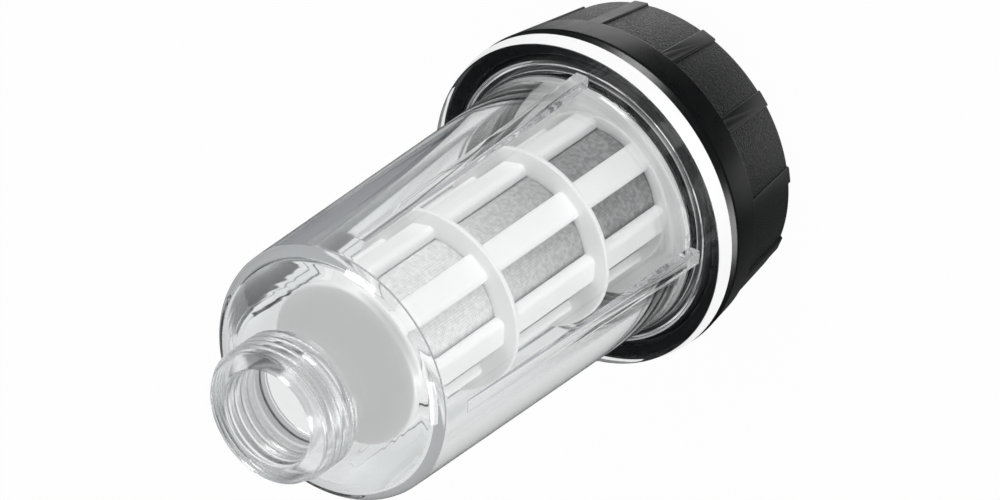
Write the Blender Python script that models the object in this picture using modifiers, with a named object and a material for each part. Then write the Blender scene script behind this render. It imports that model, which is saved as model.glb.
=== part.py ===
# Inline water filter for a garden hose or a pressure washer, standing on its outlet nut.
# Metres, +Z up. The axis of the filter is the Z axis, and the floor is z = 0.
# From the floor up: swivel nut with its flat washer, black screw cap with the strainer seat,
# O-ring, clear housing with a domed end and a threaded neck. The strainer stands inside.

import math

import bmesh
import bpy
from mathutils import Matrix, Vector

# Clearance between pieces that touch on the real object
GAP = 0.0003

# Facets around the big round pieces and the small ones
SEGMENTS = 64
SMALL_SEGMENTS = 48

# Hose thread of the neck, G 3/4, and the room that the nut's thread leaves around it
THREAD_RADIUS = 0.0132
THREAD_ROOM = 0.0001
THREAD_CHAMFER = 0.0009

# Swivel nut
NUT_LENGTH = 0.0170
NUT_WALL = 0.0031
NUT_LIP = 0.0030
NUT_EDGE = 0.0008
NUT_TO_CAP = 0.0020
NUT_FLUTES = 12
NUT_FLUTE_RADIUS = 0.0022
NUT_FLUTE_DEPTH = 0.0007
NUT_PLAIN_TOP = 0.0025

# Flat washer in the nut
WASHER_SIDE_ROOM = 0.0013
WASHER_WIDTH = 0.0040
WASHER_THICKNESS = 0.0026

# Outlet tube of the cap, with the collar that the nut hangs on
COLLAR_SIDE_ROOM = 0.0014
COLLAR_WIDTH = 0.0017
COLLAR_THICKNESS = 0.0025
OUTLET_WALL = 0.0027

# Screw cap
CAP_RIM_WIDTH = 0.0036
CAP_TAPER_WIDTH = 0.00305
CAP_WALL = 0.00295
CAP_BAND = 0.0084
CAP_FRONT_CHAMFER_WIDTH = 0.0011
CAP_FRONT_CHAMFER_LENGTH = 0.0015
CAP_BACK_ROUND = 0.0010
CAP_RECESS_DEPTH = 0.0098
CAP_FLOOR = 0.0030
CAP_DEPTH = 0.0097
GRIP_BARS = 12
GRIP_BAR_WIDTH = 0.0032
GRIP_BAR_SINK = 0.0001
GRIP_PANEL_DEPTH = 0.0006

# Seat of the strainer, a ring standing on the cap's floor
SEAT_WALL = 0.0020
SEAT_HEIGHT = 0.0060

# Clear housing
BODY_LENGTH = 0.0705
BODY_RADIUS = 0.0254
BODY_DRAFT = 0.00095
HOUSING_WALL = 0.0030
FLANGE_INSET = 0.0001
FLANGE_THICKNESS = 0.0032
FLANGE_SLOPE_WIDTH = 0.0006
FLANGE_SLOPE_LENGTH = 0.0028
DOME_EDGE_WIDTH = 0.00015
DOME_EDGE_LENGTH = 0.0012
DOME_RISE = 0.0085
DOME_BULGE = 0.0020
NECK_LENGTH = 0.0102
NECK_WALL = 0.0040
SKIRT_OUTSIDE_BODY = 0.0020
SKIRT_WALL = 0.0040
SKIRT_CHAMFER = 0.0008
SKIRT_STEP = 0.0020
SKIRT_END_ROOM = 0.0007
SKIRT_THREAD_ROOM = 0.0009
RIB_COUNT = 4
RIB_THICKNESS = 0.0028
RIB_FOOT_HEIGHT = 0.0021
RIB_TIP_HEIGHT = 0.0001
RIB_LENGTH = 0.0654
RIB_TURN = 0.068

# O-ring that seals the housing in the cap
RING_SECTION_RADIUS = 0.0013
RING_LAND_DEPTH = 0.0018

# Strainer: white cage of bars from its flange to its end disc, with hoops, and the mesh sleeve in it
STRAINER_SIDE_ROOM = 0.0074
STRAINER_END_ROOM = 0.0090
STRAINER_WALL = 0.0018
STRAINER_END = 0.0016
STRAINER_EDGE = 0.0006
STRAINER_LIP = 0.0003
FOOT_STEP = 0.0014
BASKET_FLANGE_OVERHANG = 0.0029
BASKET_FLANGE_THICKNESS = 0.0016
COLLAR_HEIGHT = 0.0005
HOOP_HEIGHT = 0.0026
HOOP_WIDTH = 0.0010
HOOP_COUNT = 2
FIRST_HOOP_FROM_END = 0.0250
HOOP_PITCH = 0.0270
CAGE_BARS = 7
CAGE_BAR_WIDTH = 0.0054
CAGE_BAR_ROUND = 0.0007
CAGE_BAR_SINK = 0.0001
STRAINER_TURN = math.radians(16.2)
MESH_THICKNESS = 0.0004
MESH_OVERLAP = 0.0011

# Radii that follow from the sizes above, from the nut outwards
NUT_BORE_RADIUS = THREAD_RADIUS + THREAD_ROOM
NUT_RADIUS = NUT_BORE_RADIUS + NUT_WALL
WASHER_RADIUS = NUT_BORE_RADIUS - WASHER_SIDE_ROOM
WASHER_BORE_RADIUS = WASHER_RADIUS - WASHER_WIDTH
COLLAR_RADIUS = NUT_BORE_RADIUS - COLLAR_SIDE_ROOM
OUTLET_RADIUS = COLLAR_RADIUS - COLLAR_WIDTH
OUTLET_BORE_RADIUS = OUTLET_RADIUS - OUTLET_WALL
NECK_BORE_RADIUS = THREAD_RADIUS - NECK_WALL
BODY_TOP_RADIUS = BODY_RADIUS - BODY_DRAFT
DOME_EDGE_RADIUS = BODY_TOP_RADIUS - DOME_EDGE_WIDTH
SKIRT_RADIUS = BODY_RADIUS + SKIRT_OUTSIDE_BODY
SKIRT_BORE_RADIUS = SKIRT_RADIUS - SKIRT_WALL
RING_LAND_RADIUS = SKIRT_RADIUS - RING_LAND_DEPTH
RING_RADIUS = RING_LAND_RADIUS + GAP + RING_SECTION_RADIUS
CAP_COUNTERBORE_RADIUS = RING_RADIUS + RING_SECTION_RADIUS + GAP
CAP_BORE_RADIUS = SKIRT_RADIUS + SKIRT_THREAD_ROOM
CAP_RADIUS = CAP_COUNTERBORE_RADIUS + CAP_RIM_WIDTH
CAP_BACK_RADIUS = CAP_RADIUS - CAP_TAPER_WIDTH
CAP_RECESS_RADIUS = CAP_BACK_RADIUS - CAP_WALL
FLANGE_RADIUS = CAP_RADIUS - FLANGE_INSET
STRAINER_RADIUS = BODY_RADIUS - HOUSING_WALL - STRAINER_SIDE_ROOM
STRAINER_BORE_RADIUS = STRAINER_RADIUS - STRAINER_WALL
STRAINER_LIP_RADIUS = STRAINER_RADIUS + STRAINER_LIP
HOOP_RADIUS = STRAINER_RADIUS + HOOP_HEIGHT
FOOT_RADIUS = STRAINER_RADIUS + FOOT_STEP
SEAT_BORE_RADIUS = FOOT_RADIUS + GAP
SEAT_RADIUS = SEAT_BORE_RADIUS + SEAT_WALL
BASKET_FLANGE_RADIUS = SEAT_RADIUS + BASKET_FLANGE_OVERHANG

# Heights that follow, from the floor up
NUT_LIP_Z = NUT_LENGTH - NUT_LIP
COLLAR_Z = NUT_LIP_Z - GAP
OUTLET_END_Z = COLLAR_Z - COLLAR_THICKNESS
WASHER_Z = OUTLET_END_Z - GAP - WASHER_THICKNESS
CAP_UNDERSIDE_Z = NUT_LENGTH + NUT_TO_CAP
CAP_BACK_Z = CAP_UNDERSIDE_Z - CAP_RECESS_DEPTH
CAP_FLOOR_Z = CAP_UNDERSIDE_Z + CAP_FLOOR
CAP_RIM_Z = CAP_FLOOR_Z + CAP_DEPTH
CAP_EDGE_Z = CAP_RIM_Z - CAP_FRONT_CHAMFER_LENGTH
CAP_BAND_Z = CAP_RIM_Z - CAP_BAND
FLANGE_Z = CAP_RIM_Z + GAP
FLANGE_TOP_Z = FLANGE_Z + FLANGE_THICKNESS
RING_Z = FLANGE_Z - GAP - RING_SECTION_RADIUS
RING_LAND_Z = RING_Z - RING_SECTION_RADIUS - GAP
SKIRT_END_Z = CAP_FLOOR_Z + SKIRT_END_ROOM
BODY_TOP_Z = FLANGE_TOP_Z + BODY_LENGTH
DOME_EDGE_Z = BODY_TOP_Z + DOME_EDGE_LENGTH
NECK_ROOT_Z = DOME_EDGE_Z + DOME_RISE
NECK_END_Z = NECK_ROOT_Z + NECK_LENGTH
SEAT_TOP_Z = CAP_FLOOR_Z + SEAT_HEIGHT
FOOT_Z = CAP_FLOOR_Z + GAP
BASKET_FLANGE_Z = SEAT_TOP_Z + GAP
BASKET_FLANGE_TOP_Z = BASKET_FLANGE_Z + BASKET_FLANGE_THICKNESS
COLLAR_TOP_Z = BASKET_FLANGE_TOP_Z + COLLAR_HEIGHT
STRAINER_TOP_Z = NECK_ROOT_Z - HOUSING_WALL - STRAINER_END_ROOM
HOOP_HEIGHTS = [STRAINER_TOP_Z - FIRST_HOOP_FROM_END - HOOP_PITCH * i for i in range(HOOP_COUNT)]

# Slope of the cap's tapered side
CAP_TAPER = math.atan2(CAP_TAPER_WIDTH, CAP_EDGE_Z - CAP_BACK_Z)


def arc(centre, radius, start, end, steps):
    """Points of an arc in the profile plane, from one angle to another, both in degrees."""
    points = []
    for i in range(steps + 1):
        angle = math.radians(start + (end - start) * i / steps)
        points.append((centre[0] + radius * math.cos(angle), centre[1] + radius * math.sin(angle)))
    return points


def dome_circle():
    """Centre and radius of the circle that bulges from the neck's root to the dome's edge."""
    root = Vector((THREAD_RADIUS, NECK_ROOT_Z))
    edge = Vector((DOME_EDGE_RADIUS, DOME_EDGE_Z))
    chord = edge - root
    radius = (chord.length_squared / 4 + DOME_BULGE ** 2) / (2 * DOME_BULGE)
    inward = Vector((chord.y, -chord.x)).normalized()
    centre = (root + edge) / 2 + inward * (radius - DOME_BULGE)
    return centre, radius


def dome_points(radius_from, depth, steps):
    """Points of the dome's section from a radius to its edge, at a depth below its outer face."""
    centre, radius = dome_circle()
    end = math.degrees(math.atan2(DOME_EDGE_Z - centre.y, DOME_EDGE_RADIUS - centre.x))
    radius -= depth
    start = math.degrees(math.acos((radius_from - centre.x) / radius))
    return arc(centre, radius, start, end, steps)


def body_radius(z):
    """Outer radius of the drafted body at a height."""
    return BODY_RADIUS - BODY_DRAFT * (z - FLANGE_TOP_Z) / BODY_LENGTH


def cap_radius(z):
    """Outer radius of the cap's tapered side at a height."""
    return CAP_RADIUS - math.tan(CAP_TAPER) * (CAP_EDGE_Z - z)


def new_material(name, colour, roughness, metallic=0.0, alpha=1.0):
    material = bpy.data.materials.new(name)
    material.use_nodes = True
    shader = material.node_tree.nodes["Principled BSDF"]
    shader.inputs["Base Color"].default_value = (*colour, 1.0)
    shader.inputs["Roughness"].default_value = roughness
    shader.inputs["Metallic"].default_value = metallic
    shader.inputs["Alpha"].default_value = alpha
    return material


def new_object(name, mesh, collection, material=None):
    thing = bpy.data.objects.new(name, mesh)
    collection.objects.link(thing)
    if material:
        mesh.materials.append(material)
    return thing


def turned(name, profile, collection, material, segments=SEGMENTS, base_z=0.0):
    """A closed profile of (radius, height) pairs, turned about Z with a Screw modifier."""
    mesh = bpy.data.meshes.new(name)
    points = [(radius, 0.0, z - base_z) for radius, z in profile]
    edges = [(i, (i + 1) % len(points)) for i in range(len(points))]
    mesh.from_pydata(points, edges, [])
    thing = new_object(name, mesh, collection, material)
    thing.location.z = base_z
    screw = thing.modifiers.new("Turn", 'SCREW')
    screw.axis = 'Z'
    screw.angle = math.tau
    screw.steps = segments
    screw.render_steps = segments
    screw.use_merge_vertices = True
    screw.merge_threshold = 0.00001
    screw.use_smooth_shade = True
    return thing


def new_cutter(name, shapes, collection):
    """One hidden mesh from several closed bmesh shapes."""
    mesh = bpy.data.meshes.new(name)
    whole = bmesh.new()
    for shape in shapes:
        part = bpy.data.meshes.new(name + "_part")
        shape.to_mesh(part)
        shape.free()
        whole.from_mesh(part)
        bpy.data.meshes.remove(part)
    whole.to_mesh(mesh)
    whole.free()
    cutter = new_object(name, mesh, collection)
    cutter.hide_render = True
    cutter.display_type = 'WIRE'
    return cutter


def combine(thing, other, operation):
    """Cut or join a piece with hidden shapes that stand in their final place."""
    boolean = thing.modifiers.new(other.name, 'BOOLEAN')
    boolean.operation = operation
    boolean.solver = 'EXACT'
    boolean.object = other


def box_shape(size, centre):
    shape = bmesh.new()
    bmesh.ops.create_cube(shape, size=1.0)
    bmesh.ops.scale(shape, vec=size, verts=shape.verts)
    bmesh.ops.translate(shape, vec=centre, verts=shape.verts)
    return shape


def make_swivel_nut(parts, cutters, material):
    """Black nut with a female hose thread, which hangs on the outlet's collar."""
    lip_radius = OUTLET_RADIUS + GAP
    profile = [
        (NUT_RADIUS - NUT_EDGE, NUT_LENGTH),
        (NUT_RADIUS, NUT_LENGTH - NUT_EDGE),
        (NUT_RADIUS, NUT_EDGE),
        (NUT_RADIUS - NUT_EDGE, 0.0),
        (NUT_BORE_RADIUS + THREAD_CHAMFER, 0.0),
        (NUT_BORE_RADIUS, THREAD_CHAMFER),
        (NUT_BORE_RADIUS, NUT_LIP_Z),
        (lip_radius, NUT_LIP_Z),
        (lip_radius, NUT_LENGTH),
    ]
    nut = turned("swivel_nut", profile, parts, material, SMALL_SEGMENTS)
    flutes = []
    for i in range(NUT_FLUTES):
        flute = bmesh.new()
        bmesh.ops.create_cone(flute, cap_ends=True, segments=12, radius1=NUT_FLUTE_RADIUS,
                              radius2=NUT_FLUTE_RADIUS, depth=2 * (NUT_LENGTH - NUT_PLAIN_TOP))
        reach = NUT_RADIUS - NUT_FLUTE_DEPTH + NUT_FLUTE_RADIUS
        bmesh.ops.translate(flute, vec=(reach, 0.0, 0.0), verts=flute.verts)
        turn = Matrix.Rotation(math.tau * (i + 0.5) / NUT_FLUTES, 4, 'Z')
        bmesh.ops.transform(flute, matrix=turn, verts=flute.verts)
        flutes.append(flute)
    combine(nut, new_cutter("nut_flute_cutter", flutes, cutters), 'DIFFERENCE')
    return nut


def make_nut_washer(parts, material):
    """Flat rubber washer between the outlet's end and the machine's inlet."""
    top = WASHER_Z + WASHER_THICKNESS
    profile = [
        (WASHER_RADIUS, top),
        (WASHER_RADIUS, WASHER_Z),
        (WASHER_BORE_RADIUS, WASHER_Z),
        (WASHER_BORE_RADIUS, top),
    ]
    return turned("nut_washer", profile, parts, material, SMALL_SEGMENTS, WASHER_Z)


def make_screw_cap(parts, cutters, material):
    """Black cap: outer grip, floor, strainer seat and outlet tube, moulded as one."""
    back_centre = (CAP_BACK_RADIUS - GRIP_PANEL_DEPTH - CAP_BACK_ROUND, CAP_BACK_Z + CAP_BACK_ROUND)
    back_round = arc(back_centre, CAP_BACK_ROUND, 0.0, -90.0, 3)
    profile = [
        (CAP_RADIUS - CAP_FRONT_CHAMFER_WIDTH, CAP_RIM_Z),
        (CAP_RADIUS, CAP_EDGE_Z),
        (cap_radius(CAP_BAND_Z), CAP_BAND_Z),
        (cap_radius(CAP_BAND_Z) - GRIP_PANEL_DEPTH, CAP_BAND_Z),
        *back_round,
        (CAP_RECESS_RADIUS, CAP_BACK_Z),
        (CAP_RECESS_RADIUS, CAP_UNDERSIDE_Z),
        (OUTLET_RADIUS, CAP_UNDERSIDE_Z),
        (OUTLET_RADIUS, COLLAR_Z),
        (COLLAR_RADIUS, COLLAR_Z),
        (COLLAR_RADIUS, OUTLET_END_Z),
        (OUTLET_BORE_RADIUS, OUTLET_END_Z),
        (OUTLET_BORE_RADIUS, CAP_FLOOR_Z),
        (SEAT_BORE_RADIUS, CAP_FLOOR_Z),
        (SEAT_BORE_RADIUS, SEAT_TOP_Z),
        (SEAT_RADIUS, SEAT_TOP_Z),
        (SEAT_RADIUS, CAP_FLOOR_Z),
        (CAP_BORE_RADIUS, CAP_FLOOR_Z),
        (CAP_BORE_RADIUS, RING_LAND_Z),
        (CAP_COUNTERBORE_RADIUS, RING_LAND_Z),
        (CAP_COUNTERBORE_RADIUS, CAP_RIM_Z),
    ]
    cap = turned("screw_cap", profile, parts, material, SEGMENTS, CAP_BACK_Z)
    combine(cap, make_grip_bars(cutters), 'UNION')
    return cap


def make_grip_bars(cutters):
    """Bars that stand off the cap's sunk panels and lean with its taper."""
    top = CAP_BAND_Z + GAP
    bottom = CAP_BACK_Z + CAP_BACK_ROUND / 2
    corner = cap_radius(CAP_BAND_Z) - GRIP_BAR_SINK
    face = math.sqrt(corner ** 2 - (GRIP_BAR_WIDTH / 2) ** 2)
    depth = CAP_WALL / 2
    bars = []
    for i in range(GRIP_BARS):
        bar = box_shape((depth, GRIP_BAR_WIDTH, top - bottom), (face - depth / 2, 0.0, (top + bottom) / 2))
        for vert in bar.verts:
            vert.co.x -= math.tan(CAP_TAPER) * (CAP_BAND_Z - vert.co.z)
        turn = Matrix.Rotation(math.tau * (i + 0.5) / GRIP_BARS, 4, 'Z')
        bmesh.ops.transform(bar, matrix=turn, verts=bar.verts)
        bars.append(bar)
    return new_cutter("grip_bars", bars, cutters)


def make_o_ring(parts, material):
    """Rubber ring in the corner between the housing's flange and its skirt."""
    bpy.ops.mesh.primitive_torus_add(major_radius=RING_RADIUS, minor_radius=RING_SECTION_RADIUS,
                                     major_segments=SMALL_SEGMENTS, minor_segments=10,
                                     location=(0.0, 0.0, RING_Z))
    ring = bpy.context.object
    ring.name = "housing_o_ring"
    ring.data.name = ring.name
    ring.data.materials.append(material)
    ring.data.shade_smooth()
    for collection in list(ring.users_collection):
        collection.objects.unlink(ring)
    parts.objects.link(ring)
    return ring


def make_clear_housing(parts, cutters, material):
    """Clear cup: threaded neck, dome, drafted body, flange and skirt, with its ribs."""
    profile = [
        (THREAD_RADIUS - THREAD_CHAMFER, NECK_END_Z),
        (THREAD_RADIUS, NECK_END_Z - THREAD_CHAMFER),
        *dome_points(THREAD_RADIUS, 0.0, 5),
        (BODY_TOP_RADIUS, BODY_TOP_Z),
        (BODY_RADIUS, FLANGE_TOP_Z),
        (FLANGE_RADIUS - FLANGE_SLOPE_WIDTH, FLANGE_TOP_Z),
        (FLANGE_RADIUS, FLANGE_TOP_Z - FLANGE_SLOPE_LENGTH),
        (FLANGE_RADIUS, FLANGE_Z),
        (RING_LAND_RADIUS, FLANGE_Z),
        (RING_LAND_RADIUS, RING_LAND_Z),
        (SKIRT_RADIUS, RING_LAND_Z - GAP),
        (SKIRT_RADIUS, SKIRT_END_Z + SKIRT_CHAMFER),
        (SKIRT_RADIUS - SKIRT_CHAMFER, SKIRT_END_Z),
        (SKIRT_BORE_RADIUS, SKIRT_END_Z),
        (SKIRT_BORE_RADIUS, FLANGE_TOP_Z - SKIRT_STEP),
        (BODY_RADIUS - HOUSING_WALL, FLANGE_TOP_Z),
        *reversed(dome_points(NECK_BORE_RADIUS, HOUSING_WALL, 5)),
        (NECK_BORE_RADIUS, NECK_END_Z),
    ]
    housing = turned("clear_housing", profile, parts, material, SEGMENTS, FLANGE_Z)
    combine(housing, make_rib_shapes(cutters), 'UNION')
    return housing


def make_rib_shapes(cutters):
    """Wedge-shaped ribs that run from the flange up the body and fade out."""
    foot_z = FLANGE_TOP_Z - GAP
    tip_z = FLANGE_TOP_Z + RIB_LENGTH
    half_wall = HOUSING_WALL / 2
    ribs = []
    for i in range(RIB_COUNT):
        rib = box_shape((half_wall, RIB_THICKNESS, tip_z - foot_z),
                        (BODY_RADIUS, 0.0, (foot_z + tip_z) / 2))
        for vert in rib.verts:
            at_tip = vert.co.z > (foot_z + tip_z) / 2
            height = RIB_TIP_HEIGHT if at_tip else RIB_FOOT_HEIGHT
            outside = vert.co.x > BODY_RADIUS
            vert.co.x = body_radius(vert.co.z) + (height if outside else -half_wall)
        turn = Matrix.Rotation(math.tau * i / RIB_COUNT + RIB_TURN, 4, 'Z')
        bmesh.ops.transform(rib, matrix=turn, verts=rib.verts)
        ribs.append(rib)
    return new_cutter("rib_shapes", ribs, cutters)


def make_strainer_frame(parts, cutters, material):
    """White cage, open at the cap and closed at the neck: a foot, bars, hoops and an end disc."""
    profile = [
        (STRAINER_LIP_RADIUS, COLLAR_TOP_Z),
        (STRAINER_LIP_RADIUS, BASKET_FLANGE_TOP_Z),
        (BASKET_FLANGE_RADIUS, BASKET_FLANGE_TOP_Z),
        (BASKET_FLANGE_RADIUS, BASKET_FLANGE_Z),
        (FOOT_RADIUS, BASKET_FLANGE_Z),
        (FOOT_RADIUS, FOOT_Z),
        (STRAINER_BORE_RADIUS, FOOT_Z),
        (STRAINER_BORE_RADIUS, COLLAR_TOP_Z),
    ]
    frame = turned("strainer_frame", profile, parts, material, SEGMENTS, FOOT_Z)
    for i, height in enumerate(HOOP_HEIGHTS):
        top = height + HOOP_WIDTH / 2
        bottom = height - HOOP_WIDTH / 2
        section = [
            (HOOP_RADIUS, top),
            (HOOP_RADIUS, bottom),
            (STRAINER_BORE_RADIUS, bottom),
            (STRAINER_BORE_RADIUS, top),
        ]
        combine(frame, new_ring("hoop_%d" % (i + 1), section, cutters), 'UNION')
    end = [
        (STRAINER_LIP_RADIUS - STRAINER_EDGE, STRAINER_TOP_Z),
        (STRAINER_LIP_RADIUS, STRAINER_TOP_Z - STRAINER_EDGE),
        (STRAINER_LIP_RADIUS, STRAINER_TOP_Z - STRAINER_END),
        (0.0, STRAINER_TOP_Z - STRAINER_END),
        (0.0, STRAINER_TOP_Z),
    ]
    combine(frame, new_ring("end_disc", end, cutters), 'UNION')
    combine(frame, make_cage_bars(cutters), 'UNION')
    return frame


def new_ring(name, section, cutters):
    """A hidden turned shape that is joined to a piece."""
    ring = turned(name, section, cutters, None)
    ring.hide_render = True
    ring.display_type = 'WIRE'
    return ring


def make_cage_bars(cutters):
    """Straight bars with rounded outer edges, from the collar to the end disc."""
    top = STRAINER_TOP_Z - STRAINER_END / 2
    bottom = BASKET_FLANGE_TOP_Z - BASKET_FLANGE_THICKNESS / 2
    depth = STRAINER_WALL - CAGE_BAR_SINK
    bars = []
    for i in range(CAGE_BARS):
        middle = (STRAINER_RADIUS - depth / 2, 0.0, (top + bottom) / 2)
        bar = box_shape((depth, CAGE_BAR_WIDTH, top - bottom), middle)
        outer = [edge for edge in bar.edges
                 if all(vert.co.x > STRAINER_RADIUS - depth / 2 for vert in edge.verts)
                 and abs(edge.verts[0].co.z - edge.verts[1].co.z) > (top - bottom) / 2]
        bmesh.ops.bevel(bar, geom=outer, offset=CAGE_BAR_ROUND, segments=2, profile=0.5, affect='EDGES')
        turn = Matrix.Rotation(math.tau * i / CAGE_BARS + STRAINER_TURN, 4, 'Z')
        bmesh.ops.transform(bar, matrix=turn, verts=bar.verts)
        bars.append(bar)
    return new_cutter("cage_bars", bars, cutters)


def make_strainer_mesh(parts, material):
    """Fine mesh sleeve that lines the frame behind its windows."""
    outer = STRAINER_BORE_RADIUS - GAP
    top = STRAINER_TOP_Z - STRAINER_END - GAP
    bottom = COLLAR_TOP_Z - MESH_OVERLAP
    profile = [
        (outer, top),
        (outer, bottom),
        (outer - MESH_THICKNESS, bottom),
        (outer - MESH_THICKNESS, top),
    ]
    return turned("strainer_mesh", profile, parts, material, SMALL_SEGMENTS, bottom)


def main():
    for thing in list(bpy.data.objects):
        bpy.data.objects.remove(thing)
    parts = bpy.data.collections.new("water_filter")
    cutters = bpy.data.collections.new("cutters")
    for collection in (parts, cutters):
        bpy.context.scene.collection.children.link(collection)

    black = new_material("black_cap_plastic", (0.012, 0.013, 0.014), 0.5)
    clear = new_material("clear_polycarbonate", (0.93, 0.94, 0.95), 0.05, alpha=0.35)
    white = new_material("white_polypropylene", (0.82, 0.82, 0.80), 0.45)
    woven = new_material("woven_mesh", (0.45, 0.46, 0.46), 0.6)
    rubber = new_material("black_rubber", (0.015, 0.015, 0.015), 0.8)

    make_swivel_nut(parts, cutters, black)
    make_nut_washer(parts, rubber)
    make_screw_cap(parts, cutters, black)
    make_o_ring(parts, rubber)
    make_clear_housing(parts, cutters, clear)
    make_strainer_frame(parts, cutters, white)
    make_strainer_mesh(parts, woven)


main()
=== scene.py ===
# %% [markdown]
# # Water filter for a hose or a pressure washer
#
# The filter is a clear cup that screws into a black cap. A white basket lined with fine mesh stands
# inside the cup, and a swivel nut hangs behind the cap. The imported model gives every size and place.
# This lesson puts a finely made piece over each of its plain solids, then gives each piece the
# finish of the real material. All places are in metres, with +Z running from the nut to the neck.

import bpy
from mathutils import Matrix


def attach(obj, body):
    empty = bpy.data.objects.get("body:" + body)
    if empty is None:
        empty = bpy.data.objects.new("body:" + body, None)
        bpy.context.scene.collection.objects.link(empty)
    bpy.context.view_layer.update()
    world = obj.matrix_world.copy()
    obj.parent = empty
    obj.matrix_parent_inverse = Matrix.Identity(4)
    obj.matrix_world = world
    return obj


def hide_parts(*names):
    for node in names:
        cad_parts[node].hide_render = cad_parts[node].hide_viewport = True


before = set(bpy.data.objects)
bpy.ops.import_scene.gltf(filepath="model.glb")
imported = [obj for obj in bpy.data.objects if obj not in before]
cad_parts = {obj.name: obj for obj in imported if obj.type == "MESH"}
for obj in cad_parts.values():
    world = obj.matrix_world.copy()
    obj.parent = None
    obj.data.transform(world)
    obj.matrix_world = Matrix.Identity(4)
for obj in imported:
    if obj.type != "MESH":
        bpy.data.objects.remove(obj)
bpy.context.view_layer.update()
print("nodes:", sorted(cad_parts))

# %% Modules
import math

import bmesh
import bpy
from mathutils import Matrix, Vector

MM = 0.001

# %% [markdown]
# ## Turned sections
#
# Most pieces of a filter are round, because the mould or the lathe that makes them is. Each starts as
# half a section: a flat outline of a few corners, with the rounding that the mould gives each one.
# The corners are rounded with a vertex bevel, then the outline is spun once around the Z axis. That
# keeps the sizes readable, and a changed radius moves only its own corner. Each long edge gets a guard
# point a quarter of a millimetre from its ends. Smooth shading then bends the surface only beside the
# rounding. Without them a whole clear wall would bend the light as if it were curved along its length.


# %% Section outlines
GUARD = 0.25 * MM


def rounded_section(corners):
    """A closed outline in the XZ plane from (radius, height, rounding) corners in millimetres."""
    bm = bmesh.new()
    verts = [bm.verts.new((radius * MM, 0.0, height * MM)) for radius, height, _ in corners]
    bm.faces.new(verts)
    for vert, (_, _, rounding) in zip(verts, corners):
        if rounding:
            bmesh.ops.bevel(bm, geom=[vert], offset=rounding * MM, offset_type='OFFSET', segments=4,
                            profile=0.5, affect='VERTICES', material=-1, clamp_overlap=False)
    bmesh.ops.delete(bm, geom=bm.faces[:], context='FACES_ONLY')
    for edge in [e for e in bm.edges if e.calc_length() > 4 * GUARD]:
        near, far = edge.verts
        bmesh.utils.edge_split(edge, near, GUARD / edge.calc_length())
        bmesh.utils.edge_split(edge, far, GUARD / edge.calc_length())
    return bm


def spin_section(bm, steps):
    """Turns an outline once around Z into a closed shell whose faces point outwards."""
    bmesh.ops.spin(bm, geom=bm.verts[:] + bm.edges[:], cent=(0, 0, 0), axis=(0, 0, 1),
                   dvec=(0, 0, 0), angle=math.tau, steps=steps, use_merge=True)
    bmesh.ops.remove_doubles(bm, verts=bm.verts[:], dist=0.0002 * MM)
    bmesh.ops.dissolve_degenerate(bm, edges=bm.edges[:], dist=0.0001 * MM)
    bmesh.ops.recalc_face_normals(bm, faces=bm.faces[:])
    return bm


def arc_corners(centre, radius, r_from, r_to, steps):
    """Corners along an arc of the section, from one distance off the axis to another."""
    corners = []
    start = math.acos((r_from - centre[0]) / radius)
    end = math.acos(min(1.0, (r_to - centre[0]) / radius))
    for i in range(steps + 1):
        angle = start + (end - start) * i / steps
        corners.append((centre[0] + radius * math.cos(angle), centre[1] + radius * math.sin(angle), 0))
    return corners


# %% Pieces from meshes
def new_piece(name, bm, material=None):
    """Writes a bmesh to an object that stands at the origin."""
    mesh = bpy.data.meshes.new(name)
    bm.to_mesh(mesh)
    bm.free()
    piece = bpy.data.objects.new(name, mesh)
    bpy.context.scene.collection.objects.link(piece)
    if material:
        mesh.materials.append(material)
    return piece


def combine(piece, tool, operation, solver='MANIFOLD'):
    """Cuts or joins a piece with a second one through a Boolean modifier, and keeps the result."""
    modifier = piece.modifiers.new(operation.title(), 'BOOLEAN')
    modifier.operation = operation
    modifier.solver = solver
    modifier.object = tool
    bpy.context.view_layer.update()
    graph = bpy.context.evaluated_depsgraph_get()
    result = bpy.data.meshes.new_from_object(piece.evaluated_get(graph))
    piece.modifiers.clear()
    old = piece.data
    piece.data = result
    result.name = piece.name
    bpy.data.meshes.remove(old)
    bpy.data.objects.remove(tool)
    return piece


def smooth_shade(piece, crease=30.0):
    """Smooth shading that stays crisp along edges sharper than the crease angle, in degrees."""
    for polygon in piece.data.polygons:
        polygon.use_smooth = True
    piece.data.set_sharp_from_angle(angle=math.radians(crease))


def place(piece, body, slot, *nodes):
    """Rides a finished piece on its body, in the place of its plain solids."""
    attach(piece, body)
    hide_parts(*nodes)
    size = piece.dimensions * 1000
    print(f"{piece.name}: {len(piece.data.polygons)} faces, {size.x:.1f} x {size.y:.1f} x {size.z:.1f} mm")


# %% [markdown]
# ## Screw threads
#
# A moulded thread is one ridge wound round a cylinder. The ridge's section is a small trapezium, spun
# with a step along the axis at each turn, which makes a helix. Its two ends run out into the
# cylinder, as a mould maker leaves them, so no blunt end shows. Its foot is sunk a little into the wall,
# so that a Boolean can join the two into one closed body.


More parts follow.
